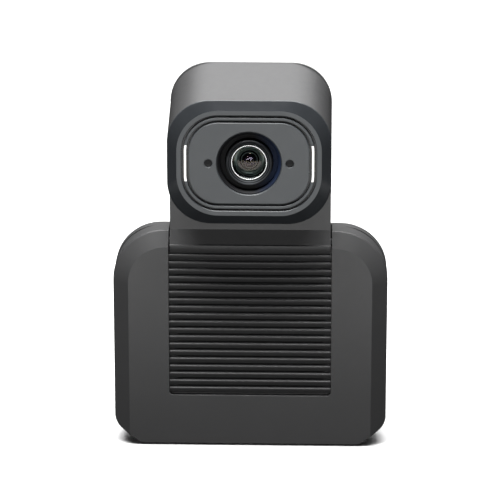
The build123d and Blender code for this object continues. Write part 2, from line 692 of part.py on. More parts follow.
def head_rear_cover():
    """The head's back cover, with a wide bevel and a lip that enters the shell."""
    back = HEAD_BACK + HEAD_COVER_DEPTH
    bevel = HEAD_COVER_DEPTH - 1.8
    cover = prism(back_outline(), HEAD_BACK, back - bevel)
    rim = upright(back - bevel) * back_outline()
    cover += loft([rim, upright(back) * back_outline(bevel)], ruled=True)
    cover -= prism(back_outline(bevel), HEAD_BACK - 1, back - WALL)
    for x, z in HEAD_SCREWS:
        cover += rod_y(4.2, HEAD_BACK, back - 1, x, z)
    for x, z in HEAD_SCREWS:
        cover -= rod_y(1.6, HEAD_BACK - 1, back + 1, x, z)
        cover -= rod_y(3.1, HEAD_BACK + 2.4, back + 1, x, z)
    return cover


def head_screws():
    """The screws in the corners of the head's back cover."""
    return group(screw_y(2.8, 1.6, 1.15, 8.5, x, HEAD_BACK + 2.4, z) for x, z in HEAD_SCREWS)


def face_bezel():
    """The bevelled ring round the face, with a skirt that enters the hood."""
    rim = upright(HEAD_FRONT) * slab(HEAD_HALF_W, HEAD_LOW, HEAD_HIGH_FRONT, HEAD_CORNER)
    front = upright(FACE_Y) * face_ring(BEZEL_R)
    ring = loft([front, rim], ruled=True)
    inset = WALL + 0.12
    outer = slab(HEAD_HALF_W - inset, HEAD_LOW + inset, HEAD_HIGH_FRONT - inset, HEAD_CORNER - inset)
    inner = slab(HEAD_HALF_W - inset - 1.6, HEAD_LOW + inset + 1.6, HEAD_HIGH_FRONT - inset - 1.6,
                 HEAD_CORNER - inset - 1.6)
    skirt = prism(outer, HEAD_FRONT - 0.5, HEAD_FRONT + 5.0) - prism(inner, HEAD_FRONT, HEAD_FRONT + 6.0)
    bezel = ring + skirt - prism(face_ring(GROOVE_1_OUT), FACE_Y - 1, HEAD_FRONT + 1)
    front_face = bezel.faces().sort_by(Axis.Y)[0]
    return chamfer(front_face.inner_wires().edges(), 0.25)


def face_frame():
    """The plate behind the face, with posts for the sensor board."""
    inset = WALL + 1.9
    plate = prism(slab(HEAD_HALF_W - inset, HEAD_LOW + inset, HEAD_HIGH_FRONT - inset,
                       HEAD_CORNER - inset), HEAD_FRONT, HEAD_FRONT + 1.5)
    plate -= rod_y(WELL_R, HEAD_FRONT - 1, HEAD_FRONT + 3, 0, FACE_Z)
    for side in (-1, 1):
        plate -= rod_y(1.5, HEAD_FRONT - 1, HEAD_FRONT + 3, side * MIC_X, FACE_Z)
        x = side * TALLY_X
        plate -= block(x - 0.7, x + 0.7, HEAD_FRONT - 1, HEAD_FRONT + 3, FACE_Z - 6.2, FACE_Z + 6.2)
    for x, z in SENSOR_FIXINGS:
        plate += rod_y(2.6, HEAD_FRONT + 1.0, SENSOR_BOARD_Y, x, z)
        plate -= rod_y(0.9, SENSOR_BOARD_Y - 8, SENSOR_BOARD_Y + 1, x, z)
    return plate


def ring_band(inset=0.0):
    """The section of the light ring, between the two grooves."""
    return face_ring(GROOVE_1_IN - inset) - face_ring(GROOVE_2_OUT + inset)


def light_ring():
    """The trim ring between the grooves, with seats for the two light bars."""
    ring = prism(ring_band(), FACE_Y + 0.1, HEAD_FRONT)
    ring = chamfer(ring.faces().sort_by(Axis.Y)[0].edges(), 0.2)
    ring -= block(-60, 60, FACE_Y - 1, FACE_Y + 1.6, FACE_Z - TALLY_HALF, FACE_Z + TALLY_HALF)
    for side in (-1, 1):
        x = side * TALLY_X
        ring -= block(x - 0.45, x + 0.45, FACE_Y, HEAD_FRONT + 1, FACE_Z - 6.0, FACE_Z + 6.0)
    return ring


def light_bars():
    """The two light pipes: a bar that fills the ring's width, on a stem to the lamps."""
    band = prism(ring_band(0.2), FACE_Y + 0.1, FACE_Y + 1.6)
    band &= block(-60, 60, -30, 0, FACE_Z - TALLY_HALF + 0.05, FACE_Z + TALLY_HALF - 0.05)
    pieces = []
    for side in (-1, 1):
        x = side * TALLY_X
        bar = band & block(min(0, side * 60), max(0, side * 60), -30, 0, 100, 190)
        stem = block(x - 0.4, x + 0.4, FACE_Y + 1.5, HEAD_FRONT + 1.5, FACE_Z - 5.9, FACE_Z + 5.9)
        pieces.append(bar + stem)
    return group(pieces)


def face_panel():
    """The inner face panel: a thin plate with a rim, the lens opening and two sound holes."""
    outline = prism(face_ring(GROOVE_2_IN), FACE_Y, HEAD_FRONT)
    front_edges = outline.faces().sort_by(Axis.Y)[0].edges()
    panel = chamfer(front_edges, 0.3)
    panel -= prism(face_ring(GROOVE_2_IN - 1.6), FACE_Y + 1.4, HEAD_FRONT + 1)
    lip = rod_y(WELL_R + 1.2, FACE_Y + 0.5, HEAD_FRONT, 0, FACE_Z)
    panel = panel + lip - rod_y(WELL_R, FACE_Y - 1, HEAD_FRONT + 1, 0, FACE_Z)
    panel -= Pos(0, FACE_Y + 0.2, FACE_Z) * Rot(90, 0, 0) * Cone(WELL_R - 0.05, WELL_R + 0.4, 0.45)
    for side in (-1, 1):
        panel -= rod_y(MIC_R, FACE_Y - 1, HEAD_FRONT + 1, side * MIC_X, FACE_Z)
        panel -= Pos(side * MIC_X, FACE_Y + 0.1, FACE_Z) * Rot(90, 0, 0) * Cone(MIC_R - 0.02, MIC_R + 0.28, 0.3)
    return panel


def microphone_screens():
    """The mesh discs in the sound holes."""
    places = (-MIC_X, MIC_X)
    return group(rod_y(MIC_R - 0.05, FACE_Y + 0.8, FACE_Y + 1.2, x, FACE_Z) for x in places)


def microphones():
    """The microphone capsules behind the face frame."""
    back = HEAD_FRONT + 1.5
    return group(rod_y(3.0, back, back + 2.6, x, FACE_Z) for x in (-MIC_X, MIC_X))


def tally_boards():
    """The narrow lamp boards behind the light bars."""
    front = HEAD_FRONT + 2.5
    return group(block(x - 2.2, x + 2.2, front, front + 0.8, FACE_Z - 8, FACE_Z + 8)
                 for x in (-TALLY_X, TALLY_X))


def tally_lamps():
    """Three lamps on each lamp board, against the stems of the light bars."""
    front = HEAD_FRONT + 1.6
    places = spread((-TALLY_X, TALLY_X), (FACE_Z - 4, FACE_Z, FACE_Z + 4))
    return group(block(x - 0.8, x + 0.8, front, front + 0.9, z - 0.8, z + 0.8) for x, z in places)


# ---- Lens ---------------------------------------------------------------------------

def lens_shroud():
    """The dark stepped well round the lens."""
    outer_r = WELL_R - 0.1
    return turned_y([
        (outer_r, FACE_Y + 0.75), (outer_r, -10.6), (11.2, -10.6), (11.2, -12.4), (13.3, -12.4),
        (13.5, -15.0), (14.5, FACE_Y + 0.75)])


def lens_barrel():
    """The stepped lens barrel, threaded into its holder."""
    barrel = turned_y([
        (10.4, LENS_TIP - 1.1), (BARREL_TIP_R, LENS_TIP - 0.8), (BARREL_TIP_R, -7.0), (8.0, -7.0),
        (8.0, 4.4), (4.6, 4.4), (4.6, 2.8), (INNER_GLASS_R, 2.8), (INNER_GLASS_R, -8.9),
        (6.3, -9.2), (6.4, -9.6), (7.2, -9.9), (GLASS_R, -10.0),
        (GLASS_R, LENS_TIP + 1.4), (8.7, LENS_TIP)])
    return barrel


def retaining_ring():
    """The bright-edged ring that holds the front glass."""
    return turned_y([
        (8.6, LENS_TIP + 0.16), (GLASS_R, LENS_TIP + 1.4), (GLASS_R, LENS_TIP + 2.6),
        (7.3, LENS_TIP + 2.6), (7.3, LENS_TIP + 0.9), (7.9, LENS_TIP - 0.1), (8.4, LENS_TIP - 0.1)])


def domed_glass(rim, radius, apex, edge, back):
    """A lens element: a dome of radius rim on a round body from edge to back."""
    crown_r = (rim ** 2 + (edge - apex) ** 2) / (2 * (edge - apex))
    dome = rod_y(rim, apex, edge + 0.5, 0, FACE_Z) & Pos(0, apex + crown_r, FACE_Z) * Sphere(crown_r)
    return dome + rod_y(radius, edge, back, 0, FACE_Z)


def front_glass():
    """The front element, domed forward and hollowed behind."""
    edge = LENS_TIP + 2.6
    body = domed_glass(7.25, GLASS_R, LENS_TIP + 0.9, edge, edge + 2.0)
    return body - Pos(0, edge + 1.0 + 18.0, FACE_Z) * Sphere(18.0)


def inner_glass():
    """The three inner elements, stacked in the barrel with spacers between them."""
    first = domed_glass(5.2, INNER_GLASS_R, -10.6, -8.8, -7.6)
    return group([first] + [rod_y(INNER_GLASS_R, y, y + 1.8, 0, FACE_Z) for y in (-4.6, 0.2)])


def lens_spacers():
    """The dark spacer rings between the inner elements, which set the iris."""
    irises = ((-7.6, 4.3), (-2.8, 3.2))
    return group(tube_y(INNER_GLASS_R, inner, y, y + 3.0, 0, FACE_Z) for y, inner in irises)


def lens_holder():
    """The threaded holder that stands on the sensor board."""
    tube = rod_y(10.0, -6.6, 5.0, 0, FACE_Z)
    foot = block(-11, 11, 4.0, SENSOR_BOARD_Y, FACE_Z - 11, FACE_Z + 11)
    holder = tube + foot - rod_y(8.0, -8, 4.6, 0, FACE_Z) - rod_y(4.4, 0, 8, 0, FACE_Z)
    return holder - block(-7.5, 7.5, 5.6, 10, FACE_Z - 7, FACE_Z + 7)


def infrared_filter():
    """The square filter window behind the lens."""
    return block(-5.5, 5.5, 5.6, 6.2, FACE_Z - 5.5, FACE_Z + 5.5)


def image_sensor():
    """The image sensor in its package."""
    body = block(-6.5, 6.5, SENSOR_BOARD_Y - 1.4, SENSOR_BOARD_Y, FACE_Z - 5.5, FACE_Z + 5.5)
    return body - block(-5, 5, SENSOR_BOARD_Y - 2, SENSOR_BOARD_Y - 1.1, FACE_Z - 4, FACE_Z + 4)


def sensor_board():
    """The square circuit board in the head."""
    board = prism(Pos(0, FACE_Z) * RectangleRounded(44, 44, 2), SENSOR_BOARD_Y, SENSOR_BOARD_Y + 1.2)
    for x, z in SENSOR_FIXINGS:
        board -= rod_y(1.3, SENSOR_BOARD_Y - 1, SENSOR_BOARD_Y + 2, x, z)
    return board


def sensor_board_screws():
    """The screws that hold the sensor board to the face frame's posts."""
    back = SENSOR_BOARD_Y + 1.2
    return group(screw_y(2.0, 1.2, 0.9, 6.0, x, back, z) for x, z in SENSOR_FIXINGS)


# ---- Hinge and flat cable -----------------------------------------------------------

def hinge_pins():
    """Two flanged pins pressed into the barrel's ends."""
    pieces = []
    for side in (-1, 1):
        shaft = sorted((side * (BARREL_BORE_HALF_W - 1.2), side * PIN_END))
        flange = sorted((side * (BARREL_BORE_HALF_W - 1.2), side * BARREL_BORE_HALF_W))
        pieces.append(rod_x(PIN_R, *shaft, AXIS_Y, AXIS_Z) + rod_x(4.0, *flange, AXIS_Y, AXIS_Z))
    return group(pieces)


def spring_washers():
    """The coned washers that give the hinge its friction."""
    pieces = []
    for side in (-1, 1):
        for index in range(2):
            near = WASHER_X + index * 0.7
            ends = sorted((side * near, side * (near + 0.6)))
            washer = rod_x(EAR_R - 0.1, *ends, AXIS_Y, AXIS_Z) - rod_x(PIN_R, -60, 60, AXIS_Y, AXIS_Z)
            pieces.append(washer)
    return group(pieces)


def hinge_nuts():
    """The hexagon lock nuts on the pins."""
    pieces = []
    for side in (-1, 1):
        near = side * (WASHER_X + 1.4)
        plane = Plane(origin=(near, AXIS_Y, AXIS_Z), x_dir=(0, side, 0), z_dir=(side, 0, 0))
        nut = extrude(plane * RegularPolygon(EAR_R - 0.1, 6), amount=2.4)
        pieces.append(nut - rod_x(PIN_R, -60, 60, AXIS_Y, AXIS_Z))
    return group(pieces)


def flat_cable(points, radius):
    """A flat cable along a route in the middle plane, from (y, z) points."""
    side = Plane(origin=(0, 0, 0), x_dir=(0, 1, 0), z_dir=(1, 0, 0))
    route = FilletPolyline(*points, radius=radius)
    return extrude(side * trace(route, 0.3), amount=FLEX_HALF_W, both=True)


def base_flex():
    """The flat cable from the main board up through the saddle to the hinge axis."""
    return flat_cable([(AXIS_Y, AXIS_Z - 1.5), (AXIS_Y, 80.5), (BOARD_Y - 2.0, 80.5)], 2.0)


def head_flex():
    """The flat cable from the hinge axis up to the back of the sensor board."""
    back = SENSOR_BOARD_Y + 1.2 + 0.8
    return flat_cable([(AXIS_Y, AXIS_Z + 0.6), (AXIS_Y, 114.0), (back, 120.0), (back, 127.0)], 2.0)


def flex_connectors():
    """The cable socket on the main board."""
    return block(-11, 11, BOARD_Y - 2.0, BOARD_Y, 78.6, 82.4)


def sensor_connector():
    """The cable socket on the sensor board."""
    back = SENSOR_BOARD_Y + 1.2
    return block(-11, 11, back, back + 1.6, 127.0, 131.0)


# ---- Output -------------------------------------------------------------------------

BASE_PIECES = (
    front_fascia, louvre_panel, dust_screen, mid_housing, rear_cover, io_plate, chassis,
    main_board, board_standoffs, board_screws, processor, memory_chips, thermal_pad, heat_sink,
    board_components, network_jack, hdmi_jack, usb_jack, power_jack, reset_switch, reset_button,
    tripod_insert, rubber_feet, cover_screws, fascia_screws, bracket_screws, base_flex,
    flex_connectors)
HEAD_PIECES = (
    head_shell, head_rear_cover, head_screws, face_bezel, face_frame, light_ring, light_bars,
    face_panel, microphone_screens, microphones, tally_boards, tally_lamps, lens_shroud,
    lens_barrel, retaining_ring, front_glass, inner_glass, lens_spacers, lens_holder,
    infrared_filter, image_sensor, sensor_board, sensor_board_screws, hinge_pins,
    spring_washers, hinge_nuts, head_flex, sensor_connector)


def save(name, part):
    """Write one node, moved into the part's frame."""
    export_step(part.moved(Location((0, -SOCKET_Y, 0))), f"parts/{name}.step")


def main():
    os.makedirs("parts", exist_ok=True)
    for build in BASE_PIECES + HEAD_PIECES:
        save(build.__name__, build())
    save("hinge_bracket_left", hinge_bracket(-1))
    save("hinge_bracket_right", hinge_bracket(1))


main()
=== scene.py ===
"""The conference camera's looks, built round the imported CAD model.

Metres, +Z up, the lens looks along -Y."""

import math

import bpy
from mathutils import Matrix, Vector


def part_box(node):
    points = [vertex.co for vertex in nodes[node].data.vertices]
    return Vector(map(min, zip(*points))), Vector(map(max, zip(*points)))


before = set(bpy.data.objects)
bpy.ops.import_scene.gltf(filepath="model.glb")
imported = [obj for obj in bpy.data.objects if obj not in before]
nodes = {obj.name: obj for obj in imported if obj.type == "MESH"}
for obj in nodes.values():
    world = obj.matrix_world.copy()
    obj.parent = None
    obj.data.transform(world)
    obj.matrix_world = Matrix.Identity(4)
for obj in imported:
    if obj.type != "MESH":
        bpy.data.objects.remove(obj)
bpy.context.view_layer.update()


# ---------------------------------------------------------------- camera

AIM = Vector((0.0, -0.023, 0.09712))
DISTANCE = 1.39
ELEVATION = math.radians(17)
AZIMUTH = math.radians(1.6)
SENSOR_WIDTH_MM = 36.0
FOCAL_LENGTH_MM = 212.7


def make_camera():
    """A long lens, a little above the camera body and slightly to its right."""
    camera = bpy.data.objects.new("studio_camera", bpy.data.cameras.new("studio_camera"))
    bpy.context.collection.objects.link(camera)
    flat = math.cos(ELEVATION)
    back = Vector((math.sin(AZIMUTH) * flat, -math.cos(AZIMUTH) * flat, math.sin(ELEVATION)))
    camera.location = AIM + back * DISTANCE
    camera.rotation_euler = (-back).to_track_quat("-Z", "Y").to_euler()
    camera.data.sensor_width = SENSOR_WIDTH_MM
    camera.data.lens = FOCAL_LENGTH_MM
    camera.data.clip_start = 0.05
    camera.data.clip_end = 50.0
    bpy.context.scene.camera = camera


# ---------------------------------------------------------------- node trees

EDGE_COSINES = (0.86, 0.995)        # between rounded and flat normal: full edge, open face
FORWARD_COSINES = (-0.97, -0.9)     # normal's Y: straight forward, clearly sloping
BEVEL_SAMPLES = 6


class Tree:
    """A material's node tree with short calls for the nodes that are used here."""

    def __init__(self, name):
        self.material = bpy.data.materials.new(name)
        self.material.use_nodes = True
        self.nodes = self.material.node_tree.nodes
        self.links = self.material.node_tree.links
        self.shader = self.nodes["Principled BSDF"]
        coords = self.nodes.new("ShaderNodeTexCoord")
        self.place = coords.outputs["Object"]
        self.own_normal = coords.outputs["Normal"]

    def set(self, **values):
        """Constants on the shader's own sockets."""
        for key, value in values.items():
            socket = self.shader.inputs[key.replace("_", " ")]
            socket.default_value = (*value, 1.0) if isinstance(value, tuple) else value

    def join(self, source, node, socket):
        self.links.new(source, node.inputs[socket])

    def noise(self, scale, detail=3.0, rough=0.5, stretch=None):
        node = self.nodes.new("ShaderNodeTexNoise")
        node.inputs["Scale"].default_value = scale
        node.inputs["Detail"].default_value = detail
        node.inputs["Roughness"].default_value = rough
        self.join(self.stretched(stretch), node, "Vector")
        return node.outputs["Fac"]

    def stretched(self, stretch):
        if stretch is None:
            return self.place
        node = self.nodes.new("ShaderNodeMapping")
        node.inputs["Scale"].default_value = stretch
        self.join(self.place, node, "Vector")
        return node.outputs["Vector"]

    def cells(self, scale, smooth=0.4):
        node = self.nodes.new("ShaderNodeTexVoronoi")
        node.feature = "SMOOTH_F1"
        node.inputs["Scale"].default_value = scale
        node.inputs["Smoothness"].default_value = smooth
        self.join(self.place, node, "Vector")
        return node.outputs["Distance"]

    def spread(self, source, low, high, start=0.0, end=1.0):
        """Maps source from start..end to low..high."""
        node = self.nodes.new("ShaderNodeMapRange")
        node.inputs["From Min"].default_value = start
        node.inputs["From Max"].default_value = end
        node.inputs["To Min"].default_value = low
        node.inputs["To Max"].default_value = high
        self.join(source, node, "Value")
        return node.outputs["Result"]

    def mixed(self, factor, first, second, kind="RGBA", blend="MIX"):
        """Two sources mixed by a third source, or in full where factor is None."""
        node = self.nodes.new("ShaderNodeMix")
        node.data_type = kind
        node.blend_type = blend
        if factor is None:
            node.inputs["Factor"].default_value = 1.0
        else:
            self.join(factor, node, "Factor")
        self.links.new(first, node.inputs["A"])
        self.links.new(second, node.inputs["B"])
        return node.outputs["Result"]

    def tint(self, factor, dark, light):
        """A colour between dark and light."""
        node = self.nodes.new("ShaderNodeMix")
        node.data_type = "RGBA"
        node.inputs["A"].default_value = (*dark, 1.0)
        node.inputs["B"].default_value = (*light, 1.0)
        self.join(factor, node, "Factor")
        return node.outputs["Result"]

    def radius_from(self, axis):
        """Distance from a line along Y through axis."""
        flat = self.nodes.new("ShaderNodeMapping")
        flat.vector_type = "POINT"
        flat.inputs["Location"].default_value = (-axis[0], 0.0, -axis[2])
        flat.inputs["Scale"].default_value = (1.0, 0.0, 1.0)
        self.join(self.place, flat, "Vector")
        length = self.nodes.new("ShaderNodeVectorMath")
        length.operation = "LENGTH"
        self.links.new(flat.outputs["Vector"], length.inputs[0])
        return length.outputs["Value"]

    def rings(self, axis, scale):
        """Fine concentric tool marks round axis."""
        node = self.nodes.new("ShaderNodeTexNoise")
        node.noise_dimensions = "1D"
        node.inputs["Scale"].default_value = scale
        node.inputs["Detail"].default_value = 3.0
        self.join(self.radius_from(axis), node, "W")
        return node.outputs["Fac"]

    def part_of(self, vector, axis):
        """The X, Y or Z of a vector source."""
        split = self.nodes.new("ShaderNodeSeparateXYZ")
        self.join(vector, split, "Vector")
        return split.outputs[axis]

    def sloping(self):
        """0 where the piece's own surface looks straight forward, 1 where it slopes away."""
        return self.spread(self.part_of(self.own_normal, "Y"), 0.0, 1.0, *FORWARD_COSINES)

    def edge(self, radius):
        """A mask that is 1 on edges and 0 on open faces, and a normal that rounds the edges."""
        rounded = self.nodes.new("ShaderNodeBevel")
        rounded.samples = BEVEL_SAMPLES
        rounded.inputs["Radius"].default_value = radius
        flat = self.nodes.new("ShaderNodeNewGeometry")
        dot = self.nodes.new("ShaderNodeVectorMath")
        dot.operation = "DOT_PRODUCT"
        self.links.new(rounded.outputs["Normal"], dot.inputs[0])
        self.links.new(flat.outputs["Normal"], dot.inputs[1])
        mask = self.spread(dot.outputs["Value"], 1.0, 0.0, *EDGE_COSINES)
        return mask, rounded.outputs["Normal"]

    def bump(self, height, depth, normal=None):
        """A normal raised by a height source, by at most depth metres."""
        node = self.nodes.new("ShaderNodeBump")
        node.inputs["Strength"].default_value = 1.0
        node.inputs["Distance"].default_value = depth
        self.join(height, node, "Height")
        if normal is not None:
            self.join(normal, node, "Normal")
        return node.outputs["Normal"]

    def colour(self, source):
        self.join(source, self.shader, "Base Color")

    def roughness(self, source):
        self.join(source, self.shader, "Roughness")

    def normal(self, source):
        self.join(source, self.shader, "Normal")


def times(colour, factor):
    return tuple(channel * factor for channel in colour)


MOULD_DRIFT = (0.955, 1.045)        # how far a moulding's colour wanders
MOULD_GLOSS_DRIFT = 0.045
MOULD_EDGE = 0.00035                # radius of a moulding's edges
MOULD_WEAR = (1.17, 1.43)           # how much lighter its burnished edges are
POLISHED = (0.17, 0.25)             # roughness of the polished sloping faces


def moulded(name, colour, rough, grain=0.00002, scale=2600.0, slope=None):
    """Injection-moulded plastic with a spark-eroded texture and slightly burnished edges.

    slope is the colour of the polished faces that don't look straight forward, if there are any."""
    tree = Tree(name)
    dull, bright = MOULD_DRIFT
    patch = tree.spread(tree.noise(26.0, 4.0, 0.6), 0.0, 1.0, 0.3, 0.7)
    base = tree.tint(patch, times(colour, dull), times(colour, bright))
    cloud = tree.noise(310.0, 5.0, 0.65)
    gloss = tree.spread(cloud, rough - MOULD_GLOSS_DRIFT, rough + MOULD_GLOSS_DRIFT, 0.25, 0.75)
    if slope is not None:
        sloped = tree.tint(patch, times(slope, dull), times(slope, bright))
        mask = tree.sloping()
        base = tree.mixed(mask, base, sloped)
        gloss = tree.mixed(mask, gloss, tree.spread(cloud, *POLISHED, 0.25, 0.75), kind="FLOAT")
    rubbed, rounded = tree.edge(MOULD_EDGE)
    least, most = MOULD_WEAR
    worn = tree.tint(tree.noise(900.0, 2.0), times(colour, least), times(colour, most))
    tree.colour(tree.mixed(rubbed, base, worn))
    tree.roughness(gloss)
    fine = tree.bump(tree.cells(scale), grain, rounded)
    tree.normal(tree.bump(tree.noise(scale * 2.1, 2.0), grain * 0.5, fine))
    return tree.material


METAL_EDGE = 0.00015                # radius of a metal part's edges
METAL_GLOSS_DRIFT = 0.07
EVEN = (1.0, 1.0, 1.0)


def machined(name, colour, rough, grain=0.000004, stretch=EVEN, metallic=1.0):
    """Bare or plated metal with fine tool marks along one direction."""
    tree = Tree(name)
    tree.set(Metallic=metallic)
    marks = tree.noise(2400.0, 3.0, 0.6, stretch)
    patch = tree.spread(tree.noise(60.0), 0.0, 1.0, 0.3, 0.7)
    base = tree.tint(patch, times(colour, 0.9), times(colour, 1.05))
    rubbed, rounded = tree.edge(METAL_EDGE)
    bright = tree.tint(marks, times(colour, 1.15), times(colour, 1.3))
    tree.colour(tree.mixed(rubbed, base, bright))
    tree.roughness(tree.spread(marks, rough - METAL_GLOSS_DRIFT, rough + METAL_GLOSS_DRIFT, 0.2, 0.8))
    tree.normal(tree.bump(marks, grain, rounded))
    return tree.material


LENS_AXIS = (0.0, 0.0, 0.1438)
LENS_REACH = 0.016                  # radius up to which rings are drawn
RING_BLUR = 0.00008                 # half width of the step from one ring to the next


def by_radius(tree, zones):
    """Colours in rings round the lens axis: zones are (outer radius in metres, colour)."""
    ramp = tree.nodes.new("ShaderNodeValToRGB")
    tree.join(tree.spread(tree.radius_from(LENS_AXIS), 0.0, 1.0, 0.0, LENS_REACH), ramp, "Fac")
    stops = ramp.color_ramp.elements
    soft = RING_BLUR / LENS_REACH
    previous = None
    for radius, colour in zones:
        if previous is None:
            stops[0].color = (*colour, 1.0)
        else:
            for place, shade in ((start - soft, previous), (start + soft, colour)):
                stops.new(place).color = (*shade, 1.0)
        previous = colour
        start = radius / LENS_REACH
    stops[-1].color = (*previous, 1.0)
    return ramp.outputs["Color"]


TURNED_EDGE = 0.00018
TURNED_GLOSS_DRIFT = 0.08
TOOL_MARKS_PER_METRE = 9000.0


def turned(name, zones, rough, metallic=0.6):
    """Metal turned on a lathe, coloured in rings round the lens axis, with concentric tool marks; the rings
    are blackening and, in the barrel, painted reflections.
    """
    tree = Tree(name)
    tree.set(Metallic=metallic)
    marks = tree.rings(LENS_AXIS, TOOL_MARKS_PER_METRE)
    rounded = tree.edge(TURNED_EDGE)[1]
    shade = tree.tint(marks, (0.75, 0.75, 0.75), (1.0, 1.0, 1.0))
    tree.colour(tree.mixed(None, by_radius(tree, zones), shade, blend="MULTIPLY"))
    tree.roughness(tree.spread(marks, rough - TURNED_GLOSS_DRIFT, rough + TURNED_GLOSS_DRIFT, 0.25, 0.75))
    tree.normal(tree.bump(marks, 0.000006, rounded))
    return tree.material


GLASS_IOR = 1.52
FILM_IOR = 1.38
INNER_IOR = 1.5


def clear_glass(name, tint, film, gloss=0.5):
    """Optical glass with an anti-reflection film, film nanometres thick, and a trace of dust."""
    tree = Tree(name)
    tree.set(Base_Color=tint, Transmission_Weight=1.0, IOR=GLASS_IOR, Specular_IOR_Level=gloss)
    tree.set(Thin_Film_Thickness=film, Thin_Film_IOR=FILM_IOR)
    smear = tree.noise(420.0, 4.0, 0.7)
    tree.roughness(tree.spread(smear, 0.004, 0.03, 0.55, 0.85))
    return tree.material


def deep_glass(name, zones):
    """The coated inner elements and the dark iris behind them, coloured in rings that include painted
    reflections of the coated lens rings.
    """
    tree = Tree(name)
    tree.set(IOR=INNER_IOR, Specular_IOR_Level=0.14)
    haze = tree.noise(900.0, 2.0)
    tree.colour(by_radius(tree, zones))
    tree.roughness(tree.spread(haze, 0.03, 0.08))
    return tree.material


WELL_DARK = (0.0015, 0.0016, 0.002)
# a blue reflection of the lens coating, painted into the well's colour
WELL_PAINTED_BLUE_REFLECTION = (0.004, 0.014, 0.045)
WELL_PAINTED_REFLECTION_SPAN = (0.002, 0.014)     # X over which the painted blue reflection comes in


def well_black(name):
    """Matt black inside the lens well, with a blue reflection of the glass coating painted on one side."""
    tree = Tree(name)
    tree.set(Specular_IOR_Level=0.12)
    side = tree.spread(tree.part_of(tree.place, "X"), 0.0, 1.0, *WELL_PAINTED_REFLECTION_SPAN)
    # painted reflection: blue mixed in towards higher X, standing in for the coating's reflection
    painted_reflection = tree.tint(side, WELL_DARK, WELL_PAINTED_BLUE_REFLECTION)
    rim = by_radius(tree, WELL_ZONES)
    tree.colour(tree.mixed(None, painted_reflection, rim, blend="ADD"))
    flock = tree.noise(5200.0, 3.0, 0.7)
    tree.roughness(tree.spread(flock, 0.42, 0.6))
    tree.normal(tree.bump(flock, 0.00001, tree.edge(0.0002)[1]))
    return tree.material


BAR_GLOW = ((1.0, 0.96, 0.88), (1.0, 0.985, 0.95))
BAR_STRENGTH = 0.85


def lit_diffuser(name):
    """A milky light bar, lit from behind, slightly uneven and warm."""
    tree = Tree(name)
    tree.set(Base_Color=(0.86, 0.86, 0.84), Subsurface_Weight=0.2)
    tree.roughness(tree.spread(tree.noise(1500.0), 0.32, 0.44))
    glow = tree.tint(tree.noise(700.0, 2.0), *BAR_GLOW)
    tree.join(glow, tree.shader, "Emission Color")
    tree.set(Emission_Strength=BAR_STRENGTH)
    tree.normal(tree.bump(tree.noise(3200.0), 0.00001))
    return tree.material


THREADS_PER_METRE = 1100.0


def woven(name, colour):
    """Fine woven mesh in front of a microphone or behind a slot."""
    tree = Tree(name)
    waves = []
    for direction in ("X", "Z"):
        wave = tree.nodes.new("ShaderNodeTexWave")
        wave.bands_direction = direction
        wave.inputs["Scale"].default_value = THREADS_PER_METRE
        wave.inputs["Distortion"].default_value = 0.4
        tree.join(tree.place, wave, "Vector")
        waves.append(wave.outputs["Fac"])
    weave = tree.nodes.new("ShaderNodeMath")
    weave.operation = "MAXIMUM"
    tree.links.new(waves[0], weave.inputs[0])
    tree.links.new(waves[1], weave.inputs[1])
    tree.colour(tree.tint(weave.outputs["Value"], times(colour, 0.3), colour))
    tree.roughness(tree.spread(weave.outputs["Value"], 0.85, 0.6))
    tree.normal(tree.bump(weave.outputs["Value"], 0.00008))
    return tree.material


SOLDER_MASK = {
    "Color1": (0.006, 0.05, 0.03, 1.0),
    "Color2": (0.008, 0.06, 0.035, 1.0),
    "Mortar": (0.012, 0.1, 0.05, 1.0),
}


def board(name):
    """Solder-masked circuit board with faint traces."""
    tree = Tree(name)
    brick = tree.nodes.new("ShaderNodeTexBrick")
    brick.inputs["Scale"].default_value = 190.0
    brick.inputs["Mortar Size"].default_value = 0.03
    for socket, colour in SOLDER_MASK.items():
        brick.inputs[socket].default_value = colour
    tree.join(tree.place, brick, "Vector")
    tree.colour(brick.outputs["Color"])
    tree.roughness(tree.spread(tree.noise(500.0), 0.25, 0.4))
    tree.normal(tree.bump(brick.outputs["Fac"], 0.00003))
    return tree.material


# ---------------------------------------------------------------- finishes

HOUSING = (0.066, 0.066, 0.067)
FACE = (0.074, 0.081, 0.086)
BLACK = (0.012, 0.012, 0.013)
BEVEL = (0.034, 0.037, 0.041)
ALONG_X = (0.05, 1.0, 1.0)          # tool marks drawn out along X
ALONG_Y = (1.0, 0.1, 1.0)           # and along Y

# Rings round the lens axis: outer radius in metres and colour.
# Lens barrel: the light grey-green bore rings and the light bands near 9 and 10 mm are painted reflections
# of lit metal; the dark bands are blackening.
BARREL_ZONES_AND_PAINTED_REFLECTIONS = (
    (0.0064, (0.3, 0.37, 0.345)),
    (0.0066, (0.03, 0.035, 0.035)),
    (0.0071, (0.36, 0.45, 0.42)),
    (0.00785, (0.05, 0.062, 0.058)),
    (0.0089, (0.016, 0.018, 0.019)),
    (0.0093, (0.13, 0.138, 0.148)),
    (0.0098, (0.02, 0.022, 0.024)),
    (0.0101, (0.12, 0.128, 0.138)),
    (0.0160, (0.03, 0.032, 0.035)),
)
RING_ZONES = (
    (0.00785, (0.03, 0.032, 0.032)),
    (0.0082, (0.88, 0.9, 0.89)),
    (0.0160, (0.06, 0.062, 0.064)),
)
WELL_ZONES = (
    (0.0134, (0.0, 0.0, 0.0)),
    (0.0160, (0.011, 0.011, 0.012)),
)
# Inner elements: a dark pupil and iris, with lighter rings that are painted reflections of the coated lens
# rings.
IRIS_ZONES_AND_PAINTED_REFLECTIONS = (
    (0.0018, (0.002, 0.001, 0.004)),
    (0.0021, (0.03, 0.02, 0.04)),
    (0.0033, (0.002, 0.002, 0.003)),
    (0.0037, (0.11, 0.145, 0.135)),
    (0.0043, (0.005, 0.008, 0.008)),
    (0.0160, (0.12, 0.155, 0.145)),
)


